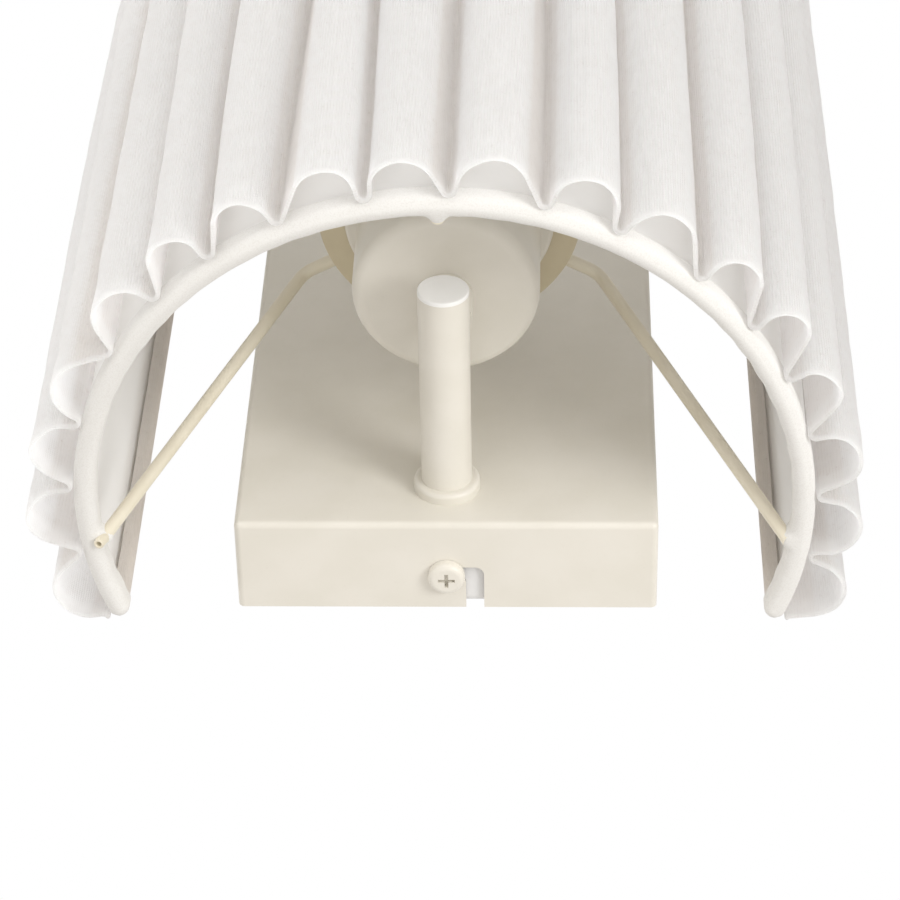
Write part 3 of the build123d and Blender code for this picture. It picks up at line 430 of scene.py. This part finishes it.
def surfacePiece(name, points, material, uv=None, ringed=False, looped=False, capped=False, **shares):
    # Quads over a grid of points (stations, round, 3). ringed joins the last round to the first,
    # looped the last station to the first, and capped closes a ring's two ends across its middle.
    # Every further name is a number at each point that a material reads.
    stations, around = points.shape[:2]
    number = np.arange(stations * around).reshape(stations, around)
    lines = np.vstack([number, number[:1]]) if looped else number
    grid = np.hstack([lines, lines[:, :1]]) if ringed else lines
    quads = np.stack([grid[:-1, :-1], grid[1:, :-1], grid[1:, 1:], grid[:-1, 1:]], -1).reshape(-1, 4)
    if capped:
        near, far = np.arange(around // 2 - 1), around - 1 - np.arange(around // 2 - 1)
        for row, flip in ((number[0], False), (number[-1], True)):
            cap = np.stack([row[near], row[near + 1], row[far - 1], row[far]], -1)
            quads = np.vstack([quads, cap[:, ::-1] if flip else cap])
    flat = points.reshape(-1, 3)
    corner = flat[quads]
    swept = np.einsum("ij,ij->i", corner[:, 0], np.cross(corner[:, 1], corner[:, 2]))
    swept += np.einsum("ij,ij->i", corner[:, 0], np.cross(corner[:, 2], corner[:, 3]))
    if swept.sum() < 0:
        quads = quads[:, ::-1]
    mesh = bpy.data.meshes.new(name)
    mesh.from_pydata(flat.tolist(), [], quads.tolist())
    if uv is not None:
        layer = mesh.uv_layers.new(name="cloth")
        loopVertex = np.zeros(len(mesh.loops), dtype=np.int32)
        mesh.loops.foreach_get("vertex_index", loopVertex)
        layer.data.foreach_set("uv", uv.reshape(-1, 2)[loopVertex].astype(np.float32).ravel())
    for label, share in shares.items():
        attribute = mesh.attributes.new(label, "FLOAT", "POINT")
        attribute.data.foreach_set("value", share.reshape(-1).astype(np.float32))
    piece = bpy.data.objects.new(name, mesh)
    bpy.context.scene.collection.objects.link(piece)
    form = bmesh.new()
    form.from_mesh(mesh)
    bmesh.ops.remove_doubles(form, verts=form.verts, dist=1e-6)
    form.to_mesh(mesh)
    form.free()
    mesh.polygons.foreach_set("use_smooth", np.ones(len(mesh.polygons), dtype=bool))
    mesh.materials.append(material)
    mesh.update()
    return piece


def sheetSection(half, low, high, rows, roll=4, crowd=0.0):
    # A sheet's own section as a ring of (offset, height): up the outer face, a rounded edge,
    # down the inner face and a rounded edge. The two faces have the same heights.
    share = np.linspace(0, 1, rows)
    share = share - crowd * np.sin(2 * np.pi * share) / (2 * np.pi)  # more rows near both edges
    height = low + half + (high - low - 2 * half) * share
    turn = np.linspace(0, np.pi, roll + 2)[1:-1]
    topRoll = np.stack([half * np.cos(turn), high - half + half * np.sin(turn)], -1)
    lowRoll = np.stack([-half * np.cos(turn), low + half - half * np.sin(turn)], -1)
    outer = np.stack([np.full(rows, half), height], -1)
    inner = np.stack([np.full(rows, -half), height[::-1]], -1)
    ring = np.vstack([outer, topRoll, inner, lowRoll])
    return np.roll(ring, roll // 2, axis=0)  # starts at the lowest point, so that caps pair up


# The shade's sizes, in the frame's metres.
shade = dict(axisY=-36 * mm, low=-110 * mm, high=110 * mm, rimRadius=83 * mm,
             tapeHalf=2.6 * mm, tapeHeight=6 * mm, endAngle=math.radians(110.92),
             frameAngle=math.radians(110.62), linerMiddle=84.375 * mm, linerHalf=0.3 * mm)
shadeAxis = np.array([0, shade["axisY"], 0])

# The fluted cover: one valley more than there are flutes, in degrees from the front. The lean
# (degrees), reach (mm) and fullness are each flute's own at the shade's lower edge, and the
# values called upper are what they all come near at its upper edge.
cover = dict(
    valleys=[-111.82, -97.9, -85.4, -72.8, -58.9, -46.6, -35.3, -23.0, -10.9, 1.8,
             15.3, 27.0, 41.1, 53.2, 64.2, 75.4, 87.2, 99.4, 111.82],
    lean=[-0.5, 0.5, 0.2, -0.9, 0.4, 0.9, 0.8, 1.2, -0.4,
          -0.7, -0.2, -1.0, -1.4, -1.6, -1.2, -0.4, 0.1, -0.3],
    reach=[95.6, 96.6, 95.8, 94.6, 95.3, 95.8, 95.4, 95.8, 95.4,
           96.1, 96.4, 95.8, 96.6, 96.9, 96.2, 96.6, 96.5, 96.3],
    fullness=[1.0, 1.0, 1.0, 0.98, 0.92, 0.94, 0.9, 0.92, 1.0,
              1.0, 1.0, 0.9, 0.94, 0.95, 0.95, 0.98, 0.97, 0.9],
    upperReach=96.2, upperFullness=0.97, upperEvenness=0.7, fullest=0.985, sway=0.45, swayReach=0.2 * mm,
    contact=86.15 * mm, valleyCurve=1.5 * mm, valleySteps=7, crestSteps=21, half=0.42 * mm,
    hemExtra=0.12 * mm, flutter=0.3 * mm, dents=0.14 * mm, uneven=0.25 * mm, edgeFade=9 * mm,
    # The first value below is the share of painted shade over the cover's inner face.
    innerShade=0.4, edge=coverEdge, rows=48, seed=11)


def foldLine(look, height, heightShare):
    # Half a valley arc, a flank, the crest arc, a flank and half a valley arc for every flute.
    # An arc's point is its centre plus or minus its radius times the cloth's outward direction;
    # the flank is the common tangent, so only the direction where it touches has to be found.
    flutes = len(look["valleys"]) - 1
    base = np.radians(look["valleys"])[:, None]
    draw = np.random.default_rng(look["seed"])
    seeds = draw.integers(1, 9999, flutes + 1)
    sway = np.stack([wander(heightShare, int(seed), 3, 0.3, 1.1) for seed in seeds])
    sway[[0, -1]] = 0
    lines = base + np.radians(look["sway"]) * sway
    left, right = lines[:-1], lines[1:]
    evenness = look["upperEvenness"] * heightShare[None]  # the flutes get more alike towards the upper edge
    lean = np.radians(look["lean"])[:, None] * (1 - evenness)
    middle = (left + right) / 2 + lean
    reach = np.array(look["reach"])[:, None] * mm * (1 - evenness)
    reach = reach + look["upperReach"] * mm * evenness + look["swayReach"] * sway[1:]
    fullness = np.array(look["fullness"])[:, None] * (1 - evenness) + look["upperFullness"] * evenness
    valleyCentre, curve = look["contact"] + look["valleyCurve"], look["valleyCurve"]
    # The largest crest that still touches the valley beside it, from both arcs' centres.
    rise, aside = reach - valleyCentre, valleyCentre * np.sin((right - left) / 2 - np.abs(lean))
    largest = (rise ** 2 + aside ** 2 - curve ** 2) / (2 * (rise + curve))
    halfGap = valleyCentre * np.sin((right - left) / 2) - curve
    crest = np.minimum(look["fullest"] * largest, halfGap * fullness)
    crestCentre = reach - crest

    def touching(gap):
        run, rise = valleyCentre * np.sin(gap), crestCentre - valleyCentre * np.cos(gap)
        ratio = np.clip((crest + curve) / np.hypot(run, rise), -1, 1)
        return np.arccos(ratio) - np.arctan2(rise, run)

    leftTouch = middle - np.pi / 2 + touching(middle - left)
    rightTouch = middle + np.pi / 2 - touching(right - middle)
    valleySteps, crestSteps = np.linspace(0, 1, look["valleySteps"]), np.linspace(0, 1, look["crestSteps"])
    pieces = [
        (left, left, leftTouch, valleySteps, valleyCentre, -curve),
        (middle, leftTouch, rightTouch, crestSteps, crestCentre, crest),
        (right, rightTouch, right, valleySteps[:-1], valleyCentre, -curve),
    ]
    spots, facings, depths = [], [], []
    for at, start, end, steps, distance, arc in pieces:
        facing = start[..., None] + (end - start)[..., None] * steps  # flutes, rows, steps
        distance, arc = np.broadcast_to(distance, at.shape), np.broadcast_to(arc, at.shape)
        spots.append(distance[..., None, None] * headingOf(at)[..., None, :]
                     + arc[..., None, None] * headingOf(facing))
        facings.append(facing)
        depths.append(np.broadcast_to((np.mean(arc) > 0) * np.sin(np.pi * steps) ** 0.5, facing.shape))
    spot = np.concatenate(spots, 2).transpose(0, 2, 1, 3)
    facing = np.concatenate(facings, 2).transpose(0, 2, 1)
    crown = np.concatenate(depths, 2).transpose(0, 2, 1)
    rows = len(height)
    return spot.reshape(-1, rows, 3), facing.reshape(-1, rows), crown.reshape(-1, rows)


def makeCover(look):
    ring = sheetSection(look["half"], -look["edge"], look["edge"], look["rows"], crowd=0.75)
    offset, height = ring[:, 0], ring[:, 1]
    heightShare = (height + look["edge"]) / (2 * look["edge"])
    spot, facing, crown = foldLine(look, height, heightShare)
    outward = headingOf(facing)
    run = np.linalg.norm(np.diff(spot, axis=0), axis=-1).mean(1)
    across = np.concatenate([[0], np.cumsum(run)])
    acrossShare = (across / across[-1])[:, None]
    fromEdge = look["edge"] - np.abs(height)
    nearEdge = np.exp(-fromEdge / look["edgeFade"])[None]
    flutter = look["flutter"] * wanderSheet(acrossShare * 9, heightShare[None] * 1.5, 5) * nearEdge
    dents = look["dents"] * wanderSheet(acrossShare * 7, heightShare[None] * 2.5, 8)
    hem = look["hemExtra"] * (offset > 0)[None] * np.clip(1.3 - fromEdge / (3 * mm), 0, 1)[None]
    push = offset[None] + hem + (flutter + dents) * crown
    points = shadeAxis + spot + outward * push[..., None]
    uneven = look["uneven"] * wander(acrossShare * 4, 21) * np.sign(height)[None] * nearEdge
    points[..., 2] = height[None] - np.abs(uneven) * np.sign(height)[None]
    uv = np.stack(np.broadcast_arrays(across[:, None], height[None]), -1)
    inside = np.broadcast_to(np.clip(0.5 - offset / (2 * look["half"]), 0, 1), points.shape[:2])
    # A mask of painted shade: full down in the valleys and partly over the whole inner face.
    hollow = np.maximum(np.clip(1 - crown * 1.4, 0, 1), inside * look["innerShade"])
    return surfacePiece("flutedCover", points, coverMaterial, uv, ringed=True, capped=True,
                        inside=inside, hollow=hollow)


flutedCover = makeCover(cover)
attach(flutedCover, "shade")
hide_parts("pleated_cover")
print("fluted cover:", len(flutedCover.data.polygons), "faces")

# The lining film.
lining = dict(stations=150, rows=50, edge=108.4 * mm, ripple=0.22 * mm)


def makeLining(look):
    # A thin sheet carried round an arc: radius plus a ripple that fades at every edge.
    ring = sheetSection(shade["linerHalf"], -look["edge"], look["edge"], look["rows"])
    angle = np.linspace(-shade["frameAngle"], shade["frameAngle"], look["stations"])[:, None]
    share = (angle / shade["frameAngle"] + 1) / 2
    upShare = (ring[:, 1] / look["edge"] + 1) / 2
    calmSides = np.sin(np.pi * np.clip((share - 0.05) / 0.9, 0, 1)) ** 0.5
    calm = calmSides * np.sin(np.pi * upShare)[None] ** 0.5
    ripple = look["ripple"] * wanderSheet(share * 5, upShare[None] * 0.8, 31) * calm
    radius = shade["linerMiddle"] + ring[None, :, 0] + ripple
    points = shadeAxis + headingOf(angle) * radius[..., None]
    points[..., 2] = ring[None, :, 1]
    uv = np.stack(np.broadcast_arrays(angle * shade["linerMiddle"], ring[None, :, 1]), -1)
    return surfacePiece("shadeLining", points, liningMaterial, uv, ringed=True, capped=True)


shadeLining = makeLining(lining)
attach(shadeLining, "shade")
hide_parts("shade_liner")
print("lining made")

# The felt tapes round both rims.
tape = dict(stations=420, domeSteps=11, turnSteps=7, lipSteps=5, wall=0.8 * mm, seed=41, softness=0.05,
            groove=0.22 * mm, grooveAt=1.25 * mm, grooveHalf=0.45 * mm, edgeLift=0.12 * mm,
            armAngles=(-96.4, 0.0, 96.4), armInset=3 * mm, bulge=2.4 * mm, bulgeHalf=1.9 * mm)


def tapeSection(look):
    # Half of the tape's section from its middle: along the channel's floor, up the wall, over its
    # top and down the outside round to the middle again, as (offset, height over the rim's edge).
    half, height, wall = shade["tapeHalf"], shade["tapeHeight"], look["wall"]
    turn = np.linspace(0, np.pi / 2, look["turnSteps"])
    floor = np.stack([(half - wall) * np.sin(turn), half - (half - wall) * np.cos(turn)], -1)
    lip = np.linspace(np.pi, 0, look["lipSteps"])
    top = np.stack([half - wall / 2 + wall / 2 * np.cos(lip), height - wall / 2 + wall / 2 * np.sin(lip)], -1)
    side = np.stack([np.full(4, half), np.linspace(height - wall, half, 6)[1:-1]], -1)
    bowl = np.stack([half * np.cos(turn), half - half * np.sin(turn)], -1)
    return np.vstack([floor, top, side, bowl])


def makeTape(name, look, upward):
    # The section is carried once round a racetrack: out along the rim, half a turn at its end,
    # back along the rim's inner side, and half a turn again.
    section = tapeSection(look)
    end = shade["endAngle"]
    run = np.linspace(-end, end, look["stations"])
    dome = np.linspace(0, np.pi, look["domeSteps"] + 2)[1:-1]
    spine = np.concatenate([run, np.full(len(dome), end), run[::-1], np.full(len(dome), -end)])
    facing = np.concatenate([run, end + dome, run[::-1] + np.pi, -end - np.pi + dome])
    signed = np.cos(facing - spine)  # 1 on the outer side of the rim, -1 on the inner side
    angleShare = (spine / end + 1) / 2
    softness = 1 + look["softness"] * wander(angleShare * 6, look["seed"])[:, None]
    offset = section[None, :, 0] * np.where(signed[:, None] < 0, softness, 1)
    height = np.broadcast_to(section[None, :, 1], offset.shape).copy()
    lower = np.clip(1 - height / shade["tapeHalf"], 0, 1)
    outerShare = offset * signed[:, None]
    isOutside = np.arange(len(section)) >= look["turnSteps"] + look["lipSteps"]
    fromGroove = (outerShare - look["grooveAt"]) / look["grooveHalf"]
    groove = look["groove"] * np.exp(-fromGroove ** 2) * isOutside[None]
    height = height + groove * lower ** 0.3
    if upward:
        for armAngle in look["armAngles"]:  # the tape swells over an arm's end
            gap = (spine - math.radians(armAngle)) * (shade["rimRadius"] - look["armInset"])
            near = np.exp(-np.abs(gap / look["bulgeHalf"]) ** 3)[:, None]
            inner = np.clip(-signed[:, None], 0, 1) * isOutside[None]
            offset = offset + look["bulge"] * near * inner * np.clip(offset / shade["tapeHalf"], 0, 1) ** 1.5
    rim = shadeAxis + headingOf(spine)[:, None] * shade["rimRadius"]
    points = rim + headingOf(facing)[:, None] * offset[..., None]
    lift = look["edgeLift"] * wander(angleShare * 5, look["seed"] + 3)[:, None] * (height > shade["tapeHalf"])
    height = height + lift
    points[..., 2] = shade["low"] + height if upward else shade["high"] - height
    return surfacePiece(name, points, tapeMaterial, looped=True)


lowerTape = makeTape("lowerRimTape", tape, True)
upperTape = makeTape("upperRimTape", dict(tape, seed=52), False)
for piece, node in ((lowerTape, "rim_tape_lower"), (upperTape, "rim_tape_upper")):
    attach(piece, "shade")
    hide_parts(node)
print("rim tapes made")

# The cloth strips over the two upright edges.
strip = dict(half=0.28 * mm, rows=90, edge=103.9 * mm, innerTip=(-2.9 * mm, -0.2 * mm),
             outerTip=(-6 * mm, -1.93 * mm), bend=2.03 * mm, centre=(-0.25 * mm, 0.02 * mm),
             freeFrom=0.6, creep=0.08 * mm, lift=0.05 * mm, bendSteps=21, legSteps=8, seed=61)


def stripLine(look):
    # The folded strip's middle line, as (away from the front, towards the axis) from the rim's end:
    # a straight leg to where it touches the bend's circle, the arc round the wire, and a leg that
    # leaves the circle along its tangent. A tangent point lies off the tip's direction by the
    # angle whose cosine is the circle's radius over the tip's distance.
    centre = np.array(look["centre"])
    tips = [np.array(look[name]) - centre for name in ("outerTip", "innerTip")]
    heading = [math.atan2(tip[1], tip[0]) for tip in tips]
    spread = [math.acos(look["bend"] / np.linalg.norm(tip)) for tip in tips]
    start, end = heading[0] + spread[0], heading[1] - spread[1]
    turn = np.linspace(start, end + (2 * np.pi if end < start else 0), look["bendSteps"])
    bend = centre + look["bend"] * np.stack([np.cos(turn), np.sin(turn)], -1)
    legs = np.linspace(0, 1, look["legSteps"], endpoint=False)[:, None]
    outer = (tips[0] + centre) * (1 - legs) + bend[0] * legs
    inner = ((tips[1] + centre) * (1 - legs) + bend[-1] * legs)[::-1]
    return np.vstack([outer, bend, inner])


def makeStrip(name, look, side):
    # The line is carried up the shade as stations of a thin sheet's section.
    ring = sheetSection(look["half"], -look["edge"], look["edge"], look["rows"])
    line = stripLine(look)
    ahead = np.gradient(line, axis=0)
    ahead /= np.linalg.norm(ahead, axis=1, keepdims=True)
    outward = np.stack([ahead[:, 1], -ahead[:, 0]], -1)
    heightShare = (ring[:, 1] / look["edge"] + 1) / 2
    run = np.concatenate([[0], np.cumsum(np.linalg.norm(np.diff(line, axis=0), axis=1))])
    freeEdge = np.clip((run / run[-1] - look["freeFrom"]) / (1 - look["freeFrom"]), 0, 1)[:, None] ** 1.5
    creep = look["creep"] * wander(heightShare[None] * 2, look["seed"]) * freeEdge
    lift = look["lift"] * (1 + wander(heightShare[None] * 3, look["seed"] + 1)) * freeEdge
    flat = line[:, None] + outward[:, None] * ring[None, :, :1]
    flat = flat + ahead[:, None] * creep[..., None] + outward[:, None] * lift[..., None]
    end = shade["endAngle"]
    corner = headingOf(np.array(end)) * shade["rimRadius"]
    away = np.array([math.cos(end), math.sin(end), 0])
    inward = -headingOf(np.array(end))
    points = shadeAxis + corner + flat[..., :1] * away + flat[..., 1:] * inward
    points[..., 2] = ring[None, :, 1]
    points[..., 0] *= side
    uv = np.stack(np.broadcast_arrays(run[:, None], ring[None, :, 1]), -1)
    return surfacePiece(name, points, stripMaterial, uv, ringed=True, capped=True)


leftStrip = makeStrip("leftEdgeStrip", strip, -1)
rightStrip = makeStrip("rightEdgeStrip", dict(strip, seed=71), 1)
for piece, node in ((leftStrip, "edge_strip_left"), (rightStrip, "edge_strip_right")):
    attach(piece, "shade")
    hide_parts(node)
print("edge strips made")

# The left arm's end shows as a short open tube that comes out of the tape: a point on the
# arm's axis, the way that the tube runs, its radius at both ends and its bore.
armTip = dict(start=(-79.40 * mm, -27.28 * mm, -107.6 * mm), ahead=(-0.243, -0.108, -0.964),
              root=1.6 * mm, radius=1.2 * mm, bore=0.62 * mm, back=-1.0 * mm, front=3.9 * mm,
              depth=1.8 * mm, taper=0.2 * mm, lipSteps=7, steps=40, hub=1e-9)


def makeArmTip(look):
    # A profile of (distance along, radius) turned about the tube's axis: the closed back, a taper,
    # a rounded lip, the bore and its end. The hub is a radius of nearly nothing that closes an end.
    turn = np.linspace(0, np.pi, look["lipSteps"])
    middle, half = (look["radius"] + look["bore"]) / 2, (look["radius"] - look["bore"]) / 2
    lip = np.stack([look["front"] - half + half * np.sin(turn), middle + half * np.cos(turn)], -1)
    back = np.array([[0, 0], [0, look["root"] * 0.9], [look["taper"], look["root"]]])
    back = back + [look["back"], look["hub"]]
    bore = np.array([[0, look["bore"]], [0, look["hub"]]]) + [look["front"] - look["depth"], 0]
    profile = np.vstack([back, lip, bore])
    ahead = np.array(look["ahead"]) / np.linalg.norm(look["ahead"])
    aside = np.cross(ahead, [0, 1.0, 0])
    aside /= np.linalg.norm(aside)
    around = np.linspace(0, 2 * np.pi, look["steps"], endpoint=False)[:, None]
    ring = np.cos(around) * aside + np.sin(around) * np.cross(ahead, aside)
    points = np.array(look["start"]) + profile[:, None, :1] * ahead + profile[:, None, 1:] * ring[None]
    return surfacePiece("leftArmTip", points, finishes["wirePaint"], ringed=True)


leftArmTip = makeArmTip(armTip)
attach(leftArmTip, "shade")
print("arm tip made")

# The camera, from the photograph's own perspective. Its focal length is in the frame's pixels.
view = dict(focal=3450.1, frameWidth=900, sensorWidth=36, tilt=36.801, yaw=-1.712, roll=0.093,
            place=(25.21 * mm, -523.98 * mm, -737.8 * mm), nearest=0.01, farthest=60)


def placedBy(right, up, back, place):
    # The matrix that puts a camera or lamp at a place, its three axes as given.
    columns = np.eye(4)
    columns[:3] = np.stack([right, up, back, place], -1)
    return Matrix(columns.tolist())


def makeCamera(look):
    # It looks up by the tilt, then turns by the yaw about its own upright and rolls about its line of sight.
    tilt, yaw, roll = (math.radians(look[name]) for name in ("tilt", "yaw", "roll"))
    ahead = np.array([0, math.sin(tilt), math.cos(tilt)])
    above = np.array([0, -math.cos(tilt), math.sin(tilt)])
    aside = np.array([1.0, 0, 0])
    ahead, aside = (math.cos(yaw) * ahead + math.sin(yaw) * aside,
                    math.cos(yaw) * aside - math.sin(yaw) * ahead)
    aside, above = (math.cos(roll) * aside + math.sin(roll) * above,
                    math.cos(roll) * above - math.sin(roll) * aside)
    data = bpy.data.cameras.new("camera")
    data.sensor_width = look["sensorWidth"]
    data.lens = look["focal"] / look["frameWidth"] * data.sensor_width
    data.clip_start, data.clip_end = look["nearest"], look["farthest"]
    camera = bpy.data.objects.new("camera", data)
    bpy.context.scene.collection.objects.link(camera)
    camera.matrix_world = placedBy(aside, above, -ahead, look["place"])
    bpy.context.scene.camera = camera


makeCamera(view)

# Light and surroundings.
studio = dict(worldLevel=0.78, worldColour=(1, 0.958, 0.922, 1), floorHeight=-2.2, floorSize=26,
              floorSteps=64, floorGrain=0.05, floorLow=colourOf(240, 240, 239),
              floorHigh=colourOf(246, 246, 245), lampTarget=(0, -0.06, -0.02))
lamps = {
    "frontSoftbox": dict(place=(0.1, -1.7, -0.15), size=1.6, power=12.0),
    "keySoftbox": dict(place=(0.95, -0.75, -0.85), size=0.5, power=8.6),
    "leftSoftbox": dict(place=(-1.5, -0.3, 0.1), size=1.2, power=12.0),
}


def aimAt(place, target):
    # A lamp shines along its own -Z, so that axis points at the target.
    back = np.array(place) - np.array(target)
    back = back / np.linalg.norm(back)
    aside = np.cross([0, 0, 1.0], back)
    aside /= np.linalg.norm(aside)
    return placedBy(aside, np.cross(back, aside), back, place)


def makeWorld(look):
    # The world lights the object at its own level, and the camera, gloss and glass see plain white.
    world = bpy.data.worlds.new("studioWorld")
    world.use_nodes = True
    bpy.context.scene.world = world
    tree = world.node_tree
    shine = tree.nodes["Background"]
    shine.inputs["Color"].default_value = look["worldColour"]
    shine.inputs["Strength"].default_value = look["worldLevel"]
    seen = tree.nodes.new("ShaderNodeBackground")
    seen.inputs["Color"].default_value = (1, 1, 1, 1)
    seen.inputs["Strength"].default_value = 1.0
    path = tree.nodes.new("ShaderNodeLightPath")
    either = calc(tree, "MAXIMUM", path.outputs["Is Camera Ray"], path.outputs["Is Glossy Ray"])
    either = calc(tree, "MAXIMUM", either, path.outputs["Is Transmission Ray"])
    # Light that seeps through cloth is a diffuse ray too, and it gets the plain level.
    either = calc(tree, "SUBTRACT", either, path.outputs["Is Diffuse Ray"], clamp=True)
    mix = tree.nodes.new("ShaderNodeMixShader")
    tree.links.new(either, mix.inputs[0])
    tree.links.new(shine.outputs[0], mix.inputs[1])
    tree.links.new(seen.outputs[0], mix.inputs[2])
    tree.links.new(mix.outputs[0], tree.nodes["World Output"].inputs["Surface"])


def makeFloor(look):
    # A plain pale disc far below the light, as rings of points, with a faint plaster grain.
    turn = np.linspace(0, 2 * np.pi, look["floorSteps"], endpoint=False)
    reach = np.array([0.0, 0.5, 1.0]) * look["floorSize"] / 2
    points = np.zeros((len(reach), len(turn), 3))
    points[..., 0] = reach[:, None] * np.cos(turn)
    points[..., 1] = reach[:, None] * np.sin(turn)
    points[..., 2] = look["floorHeight"]
    material, tree, shader = startMaterial("paleFloor", Specular_IOR_Level=0.1, Roughness=0.9)
    place = objectPlace(tree)
    plaster = grain(tree, place, look["floorGrain"], 3.0)
    feed(tree, shader.inputs["Base Color"], mixed(tree, plaster, look["floorLow"], look["floorHigh"]))
    floor = surfacePiece("studioFloor", points, material, ringed=True)


makeWorld(studio)
makeFloor(studio)
for name, look in lamps.items():
    data = bpy.data.lights.new(name, "AREA")
    data.size, data.energy = look["size"], look["power"]
    lamp = bpy.data.objects.new(name, data)
    bpy.context.scene.collection.objects.link(lamp)
    lamp.matrix_world = aimAt(look["place"], studio["lampTarget"])
    lamp.visible_camera = False
bpy.context.scene.view_settings.view_transform = "Standard"
print("camera, lamps and floor set")
